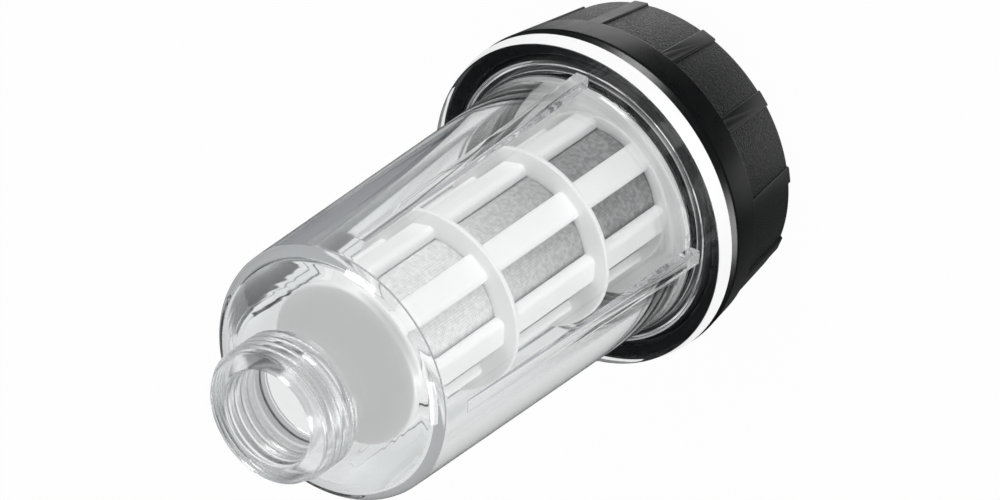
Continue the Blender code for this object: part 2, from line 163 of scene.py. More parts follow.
# %% Threads
def thread_ridge(root, crest, foot_width, crest_width, pitch, low, high, steps, start_turn=0.0, sink=0.25):
    """A helical ridge from radius root to radius crest, in millimetres, wound right-handed upwards."""
    outward = 1 if crest > root else -1
    foot = root - outward * sink
    foot_half = foot_width / 2 + sink * (foot_width - crest_width) / (2 * abs(crest - root))
    crest_half = crest_width / 2
    bm = bmesh.new()
    section = [(foot, -foot_half), (crest, -crest_half), (crest, crest_half), (foot, foot_half)]
    ring = [bm.verts.new((radius * MM, 0.0, (low + dz) * MM)) for radius, dz in section]
    bm.faces.new(ring)
    turns = (high - low) / pitch
    count = round(steps * turns)
    angle = math.tau * count / steps
    bmesh.ops.spin(bm, geom=bm.faces[:] + bm.edges[:] + bm.verts[:], cent=(0, 0, 0), axis=(0, 0, 1),
                   dvec=(0, 0, pitch * MM / steps), angle=angle, steps=count, use_merge=False)
    run_out = steps / 6
    for vert in bm.verts:
        radius = math.hypot(vert.co.x, vert.co.y)
        if abs(radius / MM - crest) > 0.01:
            continue
        turn = math.atan2(vert.co.y, vert.co.x) / math.tau
        whole = round((vert.co.z / MM - low) / pitch - turn)
        along = (turn + whole) * steps
        share = max(0.0, min(1.0, along / run_out, (count - along) / run_out))
        share = share * share * (3 - 2 * share)
        wanted = (root - outward * 0.1) + (crest - root + outward * 0.1) * share
        vert.co.x *= wanted * MM / radius
        vert.co.y *= wanted * MM / radius
    bmesh.ops.rotate(bm, verts=bm.verts[:], cent=(0, 0, 0),
                     matrix=Matrix.Rotation(math.tau * start_turn, 3, 'Z'))
    bmesh.ops.recalc_face_normals(bm, faces=bm.faces[:])
    return bm


# %% [markdown]
# ## Colours and nodes
#
# Colours are written as the hex values that a paint program shows, and one function turns them into the
# linear values that the shader works with. One more function adds a node with its settings and links.


# %% Colour and node helpers
def linear(hex_colour):
    """An sRGB hex colour as linear RGBA."""
    values = [int(hex_colour[i:i + 2], 16) / 255 for i in (1, 3, 5)]
    return tuple(v / 12.92 if v <= 0.04045 else ((v + 0.055) / 1.055) ** 2.4 for v in values) + (1.0,)


def add_node(tree, kind, settings=None, **inputs):
    """Adds a node, sets its properties, and sets or links its inputs by name or number."""
    node = tree.nodes.new(kind)
    for name, value in (settings or {}).items():
        setattr(node, name, value)
    for name, value in inputs.items():
        key = int(name[1:]) if name[0] == "i" and name[1:].isdigit() else name.replace("_", " ")
        if isinstance(value, bpy.types.NodeSocket):
            tree.links.new(value, node.inputs[key])
        else:
            node.inputs[key].default_value = value
    return node


def new_material(name, colour, roughness, ior=1.5):
    """A material whose shader holds the plain values, with its node tree to build on."""
    material = bpy.data.materials.new(name)
    material.use_nodes = True
    material.diffuse_color = linear(colour)
    shader = material.node_tree.nodes["Principled BSDF"]
    shader.inputs["Base Color"].default_value = linear(colour)
    shader.inputs["Roughness"].default_value = roughness
    shader.inputs["IOR"].default_value = ior
    return material, material.node_tree, shader


# %% [markdown]
# ## Clear polycarbonate
#
# The cup is injection moulded in clear polycarbonate with a polished mould. It bends light strongly, so
# its edges show dark and bright lines, and a slow wave in the wall, left by the flow of the melt, makes
# the reflections waver a little. Lamps would hardly reach the basket through such a wall in a render of
# this length, so the wall lets the lamps' own rays pass straight through.

# %% Clear polycarbonate
def clear_plastic(name, clear_share, roughness):
    """Clear polycarbonate that lets the lamps' rays through, with a painted grey glow on rays more than seven bounces
    deep.
    """
    material, tree, shader = new_material(name, "#fcfdfd", roughness, 1.58)
    shader.inputs["Transmission Weight"].default_value = clear_share
    place_on_piece = add_node(tree, "ShaderNodeTexCoord").outputs["Object"]
    flow_waves = add_node(tree, "ShaderNodeTexNoise", Vector=place_on_piece, Scale=1 / (9 * MM), Detail=1.0)
    wavy_wall = add_node(tree, "ShaderNodeBump", Height=flow_waves.outputs["Fac"], Distance=0.01 * MM, Strength=0.05)
    tree.links.new(wavy_wall.outputs["Normal"], shader.inputs["Normal"])
    rays = add_node(tree, "ShaderNodeLightPath")
    lamp_rays = add_node(tree, "ShaderNodeMath", {"operation": 'MAXIMUM'}, i0=rays.outputs["Is Shadow Ray"],
                         i1=rays.outputs["Is Diffuse Ray"])
    pass_through = add_node(tree, "ShaderNodeBsdfTransparent", Color=linear("#fafafa"))
    # Rays more than seven bounces deep get a painted grey glow, which stands in for the light lost on such long paths
    # inside the plastic.
    long_path = add_node(tree, "ShaderNodeMath", {"operation": 'GREATER_THAN'}, i0=rays.outputs["Ray Depth"], i1=7.5)
    painted_glow_on_long_paths = add_node(tree, "ShaderNodeEmission", Color=linear("#b4b6b8"), Strength=1.0)
    plastic = add_node(tree, "ShaderNodeMixShader", i0=long_path.outputs[0], i1=shader.outputs[0],
                       i2=painted_glow_on_long_paths.outputs[0])
    wall = add_node(tree, "ShaderNodeMixShader", i0=lamp_rays.outputs[0], i1=plastic.outputs[0],
                    i2=pass_through.outputs[0])
    tree.links.new(wall.outputs[0], tree.nodes["Material Output"].inputs["Surface"])
    return material, tree, shader, place_on_piece


clear_polycarbonate, tree, shader, place_on_piece = clear_plastic("moulded_clear_polycarbonate", 1.0, 0.03)
height = add_node(tree, "ShaderNodeSeparateXYZ", Vector=place_on_piece)
frosted_neck = add_node(tree, "ShaderNodeMapRange", Value=height.outputs["Z"], From_Min=115.5 * MM,
                        From_Max=117 * MM, To_Min=0.03, To_Max=0.16)
tree.links.new(frosted_neck.outputs[0], shader.inputs["Roughness"])
satin_polycarbonate = clear_plastic("satin_clear_polycarbonate", 0.62, 0.23)[0]

# %% [markdown]
# ## Black cap plastic
#
# The cap is moulded in black ABS. Its bars, band and chamfer come from a smooth mould and shine a little.
# Its grip panels come from spark-eroded steel: tiny pits, about a third of a millimetre across, that
# break the shine and look like fine leather.

# %% Smooth black ABS
black_abs, tree, shader = new_material("moulded_black_abs", "#0e0f10", 0.28, 1.53)
place_on_piece = add_node(tree, "ShaderNodeTexCoord")
haze = add_node(tree, "ShaderNodeTexNoise", Vector=place_on_piece.outputs["Object"], Scale=1 / (2.5 * MM), Detail=4.0)
shine = add_node(tree, "ShaderNodeMapRange", Value=haze.outputs["Fac"], To_Min=0.22, To_Max=0.36)
tree.links.new(shine.outputs[0], shader.inputs["Roughness"])
fine_skin = add_node(tree, "ShaderNodeTexNoise", Vector=place_on_piece.outputs["Object"], Scale=1 / (0.5 * MM))
skin = add_node(tree, "ShaderNodeBump", Height=fine_skin.outputs["Fac"], Distance=0.01 * MM, Strength=0.4)
tree.links.new(skin.outputs["Normal"], shader.inputs["Normal"])

# %% Spark-eroded black ABS
eroded_abs, tree, shader = new_material("spark_eroded_black_abs", "#121314", 0.36, 1.53)
place_on_piece = add_node(tree, "ShaderNodeTexCoord")
pits = add_node(tree, "ShaderNodeTexNoise", Vector=place_on_piece.outputs["Object"], Scale=1 / (0.4 * MM),
                Detail=2.0, Roughness=0.7)
leather = add_node(tree, "ShaderNodeBump", Height=pits.outputs["Fac"], Distance=0.16 * MM, Strength=1.0)
tree.links.new(leather.outputs["Normal"], shader.inputs["Normal"])
polish = add_node(tree, "ShaderNodeMapRange", Value=pits.outputs["Fac"], From_Min=0.35, From_Max=0.65,
                  To_Min=0.25, To_Max=0.5)
tree.links.new(polish.outputs[0], shader.inputs["Roughness"])

# %% [markdown]
# ## White polypropylene
#
# The basket is moulded in natural white polypropylene. It is softly glossy and lets a little light into
# itself, so its edges glow instead of ending in hard shade.

# %% White polypropylene
white_pp, tree, shader = new_material("moulded_white_polypropylene", "#f1f1ef", 0.38, 1.49)
shader.inputs["Subsurface Weight"].default_value = 0.6
shader.inputs["Subsurface Radius"].default_value = (1.0, 0.97, 0.95)
shader.inputs["Subsurface Scale"].default_value = 1.6 * MM
place_on_piece = add_node(tree, "ShaderNodeTexCoord")
skin_noise = add_node(tree, "ShaderNodeTexNoise", Vector=place_on_piece.outputs["Object"], Scale=1 / (1.2 * MM),
                      Detail=3.0)
milky = add_node(tree, "ShaderNodeMix", {"data_type": 'RGBA'}, i0=skin_noise.outputs["Fac"])
milky.inputs[6].default_value = linear("#f4f4f4")
milky.inputs[7].default_value = linear("#fbfbfb")
tree.links.new(milky.outputs[2], shader.inputs["Base Color"])
skin = add_node(tree, "ShaderNodeBump", Height=skin_noise.outputs["Fac"], Distance=0.02 * MM, Strength=0.4)
tree.links.new(skin.outputs["Normal"], shader.inputs["Normal"])

# %% [markdown]
# ## Woven filter mesh
#
# The sleeve is plain-woven from fine polyamide thread. The real threads lie about a quarter of a
# millimetre apart, finer than a pixel here, so they are drawn half a millimetre apart, at the least
# that still shows as a weave. Between them the sleeve lets light through. Its colour is painted darker
# towards the dark cap as painted shade, and random blotches of silt darken it too. The pattern follows
# the piece's own UV map, which is in millimetres.

# %% Woven mesh
THREAD_SPACING_MM = 0.5
WAVE_PERIOD = math.tau / 20
woven_mesh, tree, shader = new_material("woven_polyamide_mesh", "#e6e7e7", 0.55, 1.53)
uv = add_node(tree, "ShaderNodeUVMap", {"uv_map": "weave"})
warp = add_node(tree, "ShaderNodeTexWave", {"bands_direction": 'X'}, Vector=uv.outputs["UV"],
                Scale=WAVE_PERIOD / THREAD_SPACING_MM, Distortion=0.3)
weft = add_node(tree, "ShaderNodeTexWave", {"bands_direction": 'Y'}, Vector=uv.outputs["UV"],
                Scale=WAVE_PERIOD / THREAD_SPACING_MM, Distortion=0.3)
thread_height = add_node(tree, "ShaderNodeMath", {"operation": 'MAXIMUM'}, i0=warp.outputs["Fac"],
                         i1=weft.outputs["Fac"])
cover = add_node(tree, "ShaderNodeMapRange", Value=thread_height.outputs[0], To_Min=0.8, To_Max=1.0)
tree.links.new(cover.outputs[0], shader.inputs["Alpha"])
place_on_piece = add_node(tree, "ShaderNodeTexCoord")
silt_spots = add_node(tree, "ShaderNodeTexNoise", Vector=place_on_piece.outputs["Object"], Scale=1 / (0.9 * MM),
                      Detail=3.0)
# The colour is painted darker towards the cap, a painted shade from the dark cap, and the noise adds random blotches of
# silt.
height = add_node(tree, "ShaderNodeSeparateXYZ", Vector=place_on_piece.outputs["Object"])
painted_shade_near_cap = add_node(tree, "ShaderNodeMapRange", Value=height.outputs["Z"], From_Min=44 * MM, From_Max=86 * MM,
                To_Min=0.75, To_Max=0.0)
blotches = add_node(tree, "ShaderNodeMapRange", Value=silt_spots.outputs["Fac"], From_Min=0.35, From_Max=0.65,
                    To_Min=0.0, To_Max=0.22)
silt_and_shade_share = add_node(tree, "ShaderNodeMath", {"operation": 'ADD'}, i0=blotches.outputs[0], i1=painted_shade_near_cap.outputs[0])
silt_and_shade_colour = add_node(tree, "ShaderNodeMix", {"data_type": 'RGBA'}, i0=silt_and_shade_share.outputs[0])
silt_and_shade_colour.inputs[6].default_value = linear("#eeefef")
silt_and_shade_colour.inputs[7].default_value = linear("#747676")
tree.links.new(silt_and_shade_colour.outputs[2], shader.inputs["Base Color"])
weave = add_node(tree, "ShaderNodeBump", Height=thread_height.outputs[0], Distance=0.05 * MM, Strength=0.5)
tree.links.new(weave.outputs["Normal"], shader.inputs["Normal"])

# %% [markdown]
# ## Black rubber
#
# The O-ring and the washer are EPDM rubber. It is dull, with a faint bloom that makes some spots greyer.

# %% EPDM rubber
epdm_rubber, tree, shader = new_material("pressed_epdm_rubber", "#252626", 0.6, 1.5)
place_on_piece = add_node(tree, "ShaderNodeTexCoord")
bloom = add_node(tree, "ShaderNodeTexNoise", Vector=place_on_piece.outputs["Object"], Scale=1 / (1.5 * MM), Detail=4.0)
greys = add_node(tree, "ShaderNodeMix", {"data_type": 'RGBA'}, i0=bloom.outputs["Fac"])
greys.inputs[6].default_value = linear("#1f2020")
greys.inputs[7].default_value = linear("#2b2c2d")
tree.links.new(greys.outputs[2], shader.inputs["Base Color"])

# %% [markdown]
# ## The clear cup
#
# The cup is one moulding: a threaded neck, a domed end, a slightly tapered body, a flange with a bead
# on it, and a skirt that screws into the cap. Its section is spun first. Then the two threads and the
# four ribs are joined to it with Booleans, because light must not meet a wall inside the plastic.

# %% Sizes of the cup, in millimetres
CUP_STEPS = 360
ROUND_STEPS = 192
NECK_END = 125.6
NECK_ROOT_RADIUS = 12.1
NECK_BORE = 9.2
HOSE_CREST = 13.2
HOSE_PITCH = 1.814
CROWN_CENTRE = (-5.19, 71.77)
CROWN_RADIUS = 47.4
SHOULDER_CENTRE = (18.9, 106.2)
SHOULDER_RADIUS = 5.4
WALL = 3.0
BODY_FOOT = 25.4
BODY_TAPER = 1.1 / 71.0
FLANGE_TOP = 35.2
COARSE_PITCH = 3.0

# %% Body of the cup
cup_corners = [
    (NECK_BORE, NECK_END, 0.35),
    (12.6, NECK_END, 0.3),
    (12.6, 125.1, 0.1),
    (NECK_ROOT_RADIUS, 124.8, 0.1),
    *arc_corners(CROWN_CENTRE, CROWN_RADIUS, NECK_ROOT_RADIUS, 22.0, 10),
    *arc_corners(SHOULDER_CENTRE, SHOULDER_RADIUS, 22.0, 24.2, 10)[1:],
    (24.25, 107.0, 0),
    (24.0, 106.8, 0),
    (24.28, 106.6, 0),
    (24.3, 106.2, 0),
    (BODY_FOOT, FLANGE_TOP, 0.5),
    (31.7, FLANGE_TOP, 0.3),
    (32.3, 32.4, 0.2),
    (32.3, 32.0, 0.15),
    (27.8, 32.0, 0.1),
    (27.35, 32.45, 0.1),
    (26.9, 32.0, 0.1),
    (25.6, 32.0, 0.3),
    (25.6, 28.8, 0.2),
    (27.4, 28.5, 0.2),
    (27.4, 22.7, 0.8),
    (23.4, 22.7, 0.4),
    (23.4, 33.2, 0.6),
    (22.4, FLANGE_TOP, 0.6),
    (21.3, 107.4, 0.4),
    *reversed(arc_corners(CROWN_CENTRE, CROWN_RADIUS - WALL, NECK_BORE, 20.5, 10)),
]
cup = new_piece("clear_cup", spin_section(rounded_section(cup_corners), CUP_STEPS), clear_polycarbonate)

# %% Threads of the cup
hose_thread = thread_ridge(NECK_ROOT_RADIUS, HOSE_CREST, 1.5, 0.4, HOSE_PITCH, 116.5, 124.6, CUP_STEPS)
cup = combine(cup, new_piece("hose_thread", hose_thread), 'UNION')
skirt_thread = thread_ridge(27.4, 28.0, 1.8, 0.7, COARSE_PITCH, 23.9, 27.6, CUP_STEPS)
cup = combine(cup, new_piece("skirt_thread", skirt_thread), 'UNION')


# %% Ribs of the cup
RIB_TURN = math.radians(3.9)


def rib_wedge(turn):
    """A wedge that stands 2.1 mm off the body at the flange and runs out 65 mm further up."""
    foot_z, tip_z = FLANGE_TOP - 0.4, FLANGE_TOP + 65.4
    bm = bmesh.new()
    bmesh.ops.create_cube(bm, size=1.0)
    bmesh.ops.scale(bm, vec=(1.5 * MM, 2.8 * MM, (tip_z - foot_z) * MM), verts=bm.verts)
    for vert in bm.verts:
        at_tip = vert.co.z > 0
        body = BODY_FOOT - BODY_TAPER * ((tip_z if at_tip else foot_z) - FLANGE_TOP)
        height = 0.1 if at_tip else 2.1
        vert.co.x = (body + (height if vert.co.x > 0 else -WALL / 2)) * MM
        vert.co.z = (tip_z if at_tip else foot_z) * MM
    top_edges = [e for e in bm.edges if all(v.co.x > (BODY_FOOT - 1.2) * MM for v in e.verts)
                 and abs(e.verts[0].co.z - e.verts[1].co.z) > 30 * MM]
    bmesh.ops.bevel(bm, geom=top_edges, offset=0.35 * MM, segments=3, profile=0.5, affect='EDGES', material=-1)
    bmesh.ops.rotate(bm, verts=bm.verts, cent=(0, 0, 0), matrix=Matrix.Rotation(turn, 3, 'Z'))
    return bm


for i in range(4):
    cup = combine(cup, new_piece("rib", rib_wedge(math.tau * i / 4 + RIB_TURN)), 'UNION')
cup.data.materials.append(satin_polycarbonate)
for polygon in cup.data.polygons:
    polygon.material_index = 1 if math.hypot(polygon.center.x, polygon.center.y) > 31.6 * MM else 0
smooth_shade(cup)
place(cup, "housing", "clear_plastic", "clear_housing")

# %% [markdown]
# ## The black cap
#
# The cap is one moulding too: a gripping wall, a floor, a ring that the basket stands in and a
# short tube that the nut hangs on. The section is spun with its grip already sunk below the band. Twelve
# bars with rounded edges are then joined to it, a hair below the band, so that the two look like one face.

# %% Body of the cap
CAP_RADIUS = 32.4
CAP_EDGE_Z = 30.2
CAP_BAND_Z = 23.3
CAP_BACK_Z = 8.9
CAP_SLOPE = 3.05 / (CAP_EDGE_Z - CAP_BACK_Z)
PANEL_DEPTH = 0.4
GRIP_BARS = 12


def cap_side(z):
    """The cap's outer radius at a height, both in millimetres."""
    return CAP_RADIUS - CAP_SLOPE * (CAP_EDGE_Z - z)


cap_corners = [
    (28.8, 31.7, 0.3),
    (31.3, 31.7, 0.2),
    (CAP_RADIUS, CAP_EDGE_Z, 0.3),
    (cap_side(CAP_BAND_Z), CAP_BAND_Z, 0.2),
    (cap_side(CAP_BAND_Z) - PANEL_DEPTH, CAP_BAND_Z, 0.15),
    (cap_side(CAP_BACK_Z) - PANEL_DEPTH, CAP_BACK_Z, 0.6),
    (26.4, CAP_BACK_Z, 0.5),
    (26.4, 19.0, 0.8),
    (10.2, 19.0, 0.6),
    (10.2, 13.7, 0.2),
    (11.9, 13.7, 0.3),
    (11.9, 11.2, 0.4),
    (7.5, 11.2, 0.4),
    (7.5, 22.0, 0.4),
    (16.7, 22.0, 0.3),
    (16.7, 28.0, 0.3),
    (18.7, 28.0, 0.3),
    (18.7, 22.0, 0.3),
    (28.3, 22.0, 0.5),
    (28.3, 28.8, 0.1),
    (28.8, 28.8, 0.1),
]
cap = new_piece("black_cap", spin_section(rounded_section(cap_corners), ROUND_STEPS), black_abs)
cap.data.materials.append(eroded_abs)
cap_thread = thread_ridge(28.3, 27.7, 1.6, 0.6, COARSE_PITCH, 23.9, 27.3, ROUND_STEPS, start_turn=0.5)
cap = combine(cap, new_piece("cap_thread", cap_thread), 'UNION')


# %% Grip bars
def grip_bar(turn):
    """One bar of the grip, which leans with the cap's taper."""
    width, depth, sunk, edge_round = 3.2, 2.0, 0.03, 0.3
    low, high = CAP_BACK_Z + 0.3, CAP_BAND_Z + 0.3
    bm = bmesh.new()
    bmesh.ops.create_cube(bm, size=1.0)
    bmesh.ops.scale(bm, vec=(depth * MM, width * MM, (high - low) * MM), verts=bm.verts)
    face = cap_side(high) - sunk
    bmesh.ops.translate(bm, vec=((face - depth / 2) * MM, 0, (low + high) / 2 * MM), verts=bm.verts)
    for vert in bm.verts:
        vert.co.x -= CAP_SLOPE * (high * MM - vert.co.z)
    long_edges = [e for e in bm.edges if abs(e.verts[0].co.z - e.verts[1].co.z) > 5 * MM]
    outer = sorted(long_edges, key=lambda e: -e.verts[0].co.x - e.verts[1].co.x)[:2]
    bmesh.ops.bevel(bm, geom=outer, offset=edge_round * MM, segments=4, profile=0.5, affect='EDGES', material=-1)
    bmesh.ops.rotate(bm, verts=bm.verts, cent=(0, 0, 0), matrix=Matrix.Rotation(turn, 3, 'Z'))
    return bm


def joined(name, shapes):
    """Several loose shapes in one mesh, ready for one Boolean."""
    whole = bmesh.new()
    for shape in shapes:
        mesh = bpy.data.meshes.new("shape")
        shape.to_mesh(mesh)
        shape.free()
        whole.from_mesh(mesh)
        bpy.data.meshes.remove(mesh)
    return new_piece(name, whole)


bars = [grip_bar(math.tau * (i + 0.5) / GRIP_BARS) for i in range(GRIP_BARS)]
cap = combine(cap, joined("grip_bars", bars), 'UNION')

# %% Finish of the cap
for polygon in cap.data.polygons:
    z, radius = polygon.center.z / MM, math.hypot(polygon.center.x, polygon.center.y) / MM
    on_panel = CAP_BACK_Z < z < CAP_BAND_Z and abs(radius - cap_side(z) + PANEL_DEPTH) < 0.08
    polygon.material_index = 1 if on_panel else 0
smooth_shade(cap)
place(cap, "cap", "cap_plastic", "screw_cap")

# %% [markdown]
# ## The rubber ring
#
# The O-ring is a plain torus: a small circle spun around the axis.

# %% O-ring
ring = bmesh.new()
bmesh.ops.create_circle(ring, segments=24, radius=1.3 * MM, cap_ends=False)
bmesh.ops.rotate(ring, verts=ring.verts, cent=(0, 0, 0), matrix=Matrix.Rotation(math.pi / 2, 3, 'X'))
bmesh.ops.translate(ring, verts=ring.verts, vec=(27.2 * MM, 0, 30.4 * MM))
o_ring = new_piece("rubber_ring", spin_section(ring, ROUND_STEPS), epdm_rubber)
smooth_shade(o_ring, 80)
place(o_ring, "seal", "ring_rubber", "housing_o_ring")

# %% [markdown]
# ## The basket
#
# The basket is a white cage: a foot with a flange, seven bars with rounded edges, two thin hoops that
# stand out past the bars, and a closed disc at the neck end. Each round part is spun from its own
# section and the bars are boxes with rounded edges, so Booleans can join them into one moulding.

# %% Rings of the basket
BAR_FACE = 15.0
MESH_RADIUS = 12.9
CAGE_BORE = 12.95
CAGE_LIP = 15.3
HOOP_RADIUS = 17.6
BASKET_TOP = 103.4
CAGE_BARS = 7
foot_corners = [
    (CAGE_LIP, 30.4, 0.2),
    (CAGE_LIP, 29.9, 0.1),
    (21.6, 29.9, 0.3),
    (21.6, 28.3, 0.2),
    (16.4, 28.3, 0.1),
    (16.4, 22.3, 0.4),
    (CAGE_BORE, 22.3, 0.3),
    (CAGE_BORE, 30.4, 0.1),
]
end_corners = [
    (0.0, BASKET_TOP, 0),
    (CAGE_LIP, BASKET_TOP, 0.6),
    (CAGE_LIP, BASKET_TOP - 1.6, 0.2),
    (0.0, BASKET_TOP - 1.6, 0),
]
basket = new_piece("white_basket", spin_section(rounded_section(foot_corners), ROUND_STEPS), white_pp)
for middle in (51.4, 78.4):
    hoop_corners = [(HOOP_RADIUS, middle + 0.5, 0.2), (HOOP_RADIUS, middle - 0.5, 0.2),
                    (CAGE_BORE, middle - 0.5, 0), (CAGE_BORE, middle + 0.5, 0)]
    hoop = new_piece("hoop", spin_section(rounded_section(hoop_corners), ROUND_STEPS))
    basket = combine(basket, hoop, 'UNION')
basket = combine(basket, new_piece("end_disc", spin_section(rounded_section(end_corners), ROUND_STEPS)), 'UNION')


# %% Bars of the basket
def cage_bar(turn):
    """A straight bar between the foot and the end disc, with well rounded outer edges."""
    low, high, depth, width = 29.1, BASKET_TOP - 0.8, 2.05, 5.4
    bm = bmesh.new()
    bmesh.ops.create_cube(bm, size=1.0)
    bmesh.ops.scale(bm, vec=(depth * MM, width * MM, (high - low) * MM), verts=bm.verts)
    bmesh.ops.translate(bm, vec=((BAR_FACE - depth / 2) * MM, 0, (low + high) / 2 * MM), verts=bm.verts)
    outer = [e for e in bm.edges if all(v.co.x > (BAR_FACE - depth / 2) * MM for v in e.verts)
             and abs(e.verts[0].co.z - e.verts[1].co.z) > 5 * MM]
    bmesh.ops.bevel(bm, geom=outer, offset=1.1 * MM, segments=6, profile=0.5, affect='EDGES', material=-1)
    bmesh.ops.rotate(bm, verts=bm.verts, cent=(0, 0, 0), matrix=Matrix.Rotation(turn, 3, 'Z'))
    return bm


bars = [cage_bar(math.tau * i / CAGE_BARS + math.radians(16.2)) for i in range(CAGE_BARS)]
basket = combine(basket, joined("cage_bars", bars), 'UNION')
smooth_shade(basket)
place(basket, "cap", "white_plastic", "strainer_frame")

# %% [markdown]
# ## The mesh sleeve
#
# The sleeve is a thin rolled tube of woven mesh. Its UV map runs in millimetres around and along the
# tube, so that the weave keeps its size.

# %% Mesh sleeve
sleeve_corners = [(MESH_RADIUS, 101.5, 0), (MESH_RADIUS, 29.3, 0), (12.5, 29.3, 0), (12.5, 101.5, 0)]
sleeve_mesh = spin_section(rounded_section(sleeve_corners), ROUND_STEPS)
weave_map = sleeve_mesh.loops.layers.uv.new("weave")
for face in sleeve_mesh.faces:
    middle = face.calc_center_median()
    middle_angle = math.atan2(middle.y, middle.x)
    for loop in face.loops:
        angle = math.atan2(loop.vert.co.y, loop.vert.co.x)
        if angle - middle_angle > math.pi:
            angle -= math.tau
        elif middle_angle - angle > math.pi:
            angle += math.tau
        loop[weave_map].uv = (angle * MESH_RADIUS, loop.vert.co.z / MM)
sleeve = new_piece("mesh_sleeve", sleeve_mesh, woven_mesh)
smooth_shade(sleeve)
place(sleeve, "cap", "mesh_plastic", "strainer_mesh")

# %% [markdown]
# ## The swivel nut and its washer
#
# The nut is out of sight in the photograph. It is a plain black ring with finger flutes and the
# female thread of the same hose size, and it hangs on the collar of the cap's tube.

# %% Swivel nut
nut_corners = [
    (16.4, 0.0, 0.7),
    (16.4, 17.0, 0.8),
    (10.5, 17.0, 0.3),
    (10.5, 14.0, 0.2),
    (13.3, 14.0, 0.2),
    (13.3, 0.9, 0.1),
    (14.2, 0.0, 0.1),
]
nut = new_piece("swivel_nut_body", spin_section(rounded_section(nut_corners), ROUND_STEPS), black_abs)
nut_thread = thread_ridge(13.3, 12.15, 1.5, 0.4, HOSE_PITCH, 1.6, 7.2, ROUND_STEPS)
nut = combine(nut, new_piece("nut_thread", nut_thread), 'UNION')
flutes = bmesh.new()
for i in range(12):
    flute = bmesh.ops.create_cone(flutes, cap_ends=True, segments=32, radius1=2.2 * MM, radius2=2.2 * MM,
                                  depth=29 * MM)["verts"]
    bmesh.ops.translate(flutes, vec=(17.9 * MM, 0, 0), verts=flute)
    bmesh.ops.rotate(flutes, verts=flute, cent=(0, 0, 0), matrix=Matrix.Rotation(math.tau * (i + 0.5) / 12, 3, 'Z'))
nut = combine(nut, new_piece("flutes", flutes), 'DIFFERENCE')
smooth_shade(nut)
place(nut, "nut", "nut_plastic", "swivel_nut")

# %% Nut washer
washer_corners = [(12.0, 10.9, 0.3), (12.0, 8.3, 0.3), (8.0, 8.3, 0.3), (8.0, 10.9, 0.3)]
washer = new_piece("flat_washer", spin_section(rounded_section(washer_corners), ROUND_STEPS), epdm_rubber)
smooth_shade(washer)
place(washer, "nut", "washer_rubber", "nut_washer")

# %% [markdown]
# ## Ground, room, cards and lamps
#
# The filter is shown on a white ground. The ground and the room are plain white to the camera. Clear
# plastic in an all-white room has no edges, so photographers of bottles stand dark and white cards just
# outside the picture, and the plastic draws itself with them. The same is done here: the room that the
# gloss mirrors is dim, and the cards show only in the plastic, never to the camera itself.

# %% Photographer's directions around the filter
TO_CAMERA = Vector((0.785, -0.620, 0.0))
TO_LEFT = Vector((0.620, 0.785, 0.0))


# %% Ground
def ray_mix(tree, rays, first, second, ray):
    """A shader or a colour that changes for one kind of ray."""
    if first.type == 'SHADER':
        return add_node(tree, "ShaderNodeMixShader", i0=rays.outputs[ray], i1=first, i2=second).outputs[0]
    return add_node(tree, "ShaderNodeMix", {"data_type": 'RGBA'}, i0=rays.outputs[ray], i6=first, i7=second).outputs[2]


ground_mesh = bmesh.new()
bmesh.ops.create_grid(ground_mesh, x_segments=1, y_segments=1, size=2.5)
white_ground, tree, shader = new_material("white_paper_ground", "#f4f4f4", 0.9)
rays = add_node(tree, "ShaderNodeLightPath")
camera_share = add_node(tree, "ShaderNodeMath", {"operation": 'MULTIPLY'}, i0=rays.outputs["Is Camera Ray"], i1=0.97)
white_glow = add_node(tree, "ShaderNodeEmission", Color=(1, 1, 1, 1), Strength=1.0)
through_glow = add_node(tree, "ShaderNodeEmission", Color=linear("#f2f3f3"), Strength=1.0)
# To gloss, the ground shows a glowing patch near the filter: a painted reflection that gives the black cap its sheen.
# It fades away from the sheen's side, and a gap in it keeps one panel dark.
place = add_node(tree, "ShaderNodeTexCoord").outputs["Object"]
from_axis = add_node(tree, "ShaderNodeVectorMath", {"operation": 'LENGTH'}, Vector=place)
near_filter = add_node(tree, "ShaderNodeMapRange", Value=from_axis.outputs["Value"], From_Min=44 * MM,
                       From_Max=51 * MM, To_Min=1.0, To_Max=0.0)
gap_side = TO_CAMERA * math.cos(math.radians(11)) + TO_LEFT * math.sin(math.radians(11))
sheen_side = TO_CAMERA * math.cos(math.radians(30)) + TO_LEFT * math.sin(math.radians(30))
toward_sheen = add_node(tree, "ShaderNodeVectorMath", {"operation": 'DOT_PRODUCT'}, i0=place, i1=sheen_side)
near_camera = add_node(tree, "ShaderNodeMapRange", Value=toward_sheen.outputs["Value"], From_Min=4 * MM,
                       From_Max=36 * MM, To_Min=0.06, To_Max=1.0)
toward_gap = add_node(tree, "ShaderNodeVectorMath", {"operation": 'DOT_PRODUCT'}, i0=place, i1=gap_side)
off_gap = add_node(tree, "ShaderNodeMapRange", Value=toward_gap.outputs["Value"], From_Min=32 * MM,
                   From_Max=37 * MM, To_Min=1.0, To_Max=0.0)
bright_share = add_node(tree, "ShaderNodeMath", {"operation": 'MULTIPLY'}, i0=near_filter.outputs[0],
                        i1=off_gap.outputs[0])
bright_share = add_node(tree, "ShaderNodeMath", {"operation": 'MULTIPLY'}, i0=bright_share.outputs[0],
                        i1=near_camera.outputs[0])
mirrored = add_node(tree, "ShaderNodeMix", {"data_type": 'RGBA'}, i0=bright_share.outputs[0])
mirrored.inputs[6].default_value = linear("#161718")
mirrored.inputs[7].default_value = linear("#ffffff")
mirror_glow = add_node(tree, "ShaderNodeEmission", Color=mirrored.outputs[2], Strength=1.45)
diffuse_glow = add_node(tree, "ShaderNodeEmission", Color=linear("#dcdcdc"), Strength=1.0)
ground_look = ray_mix(tree, rays, shader.outputs[0], mirror_glow.outputs[0], "Is Glossy Ray")
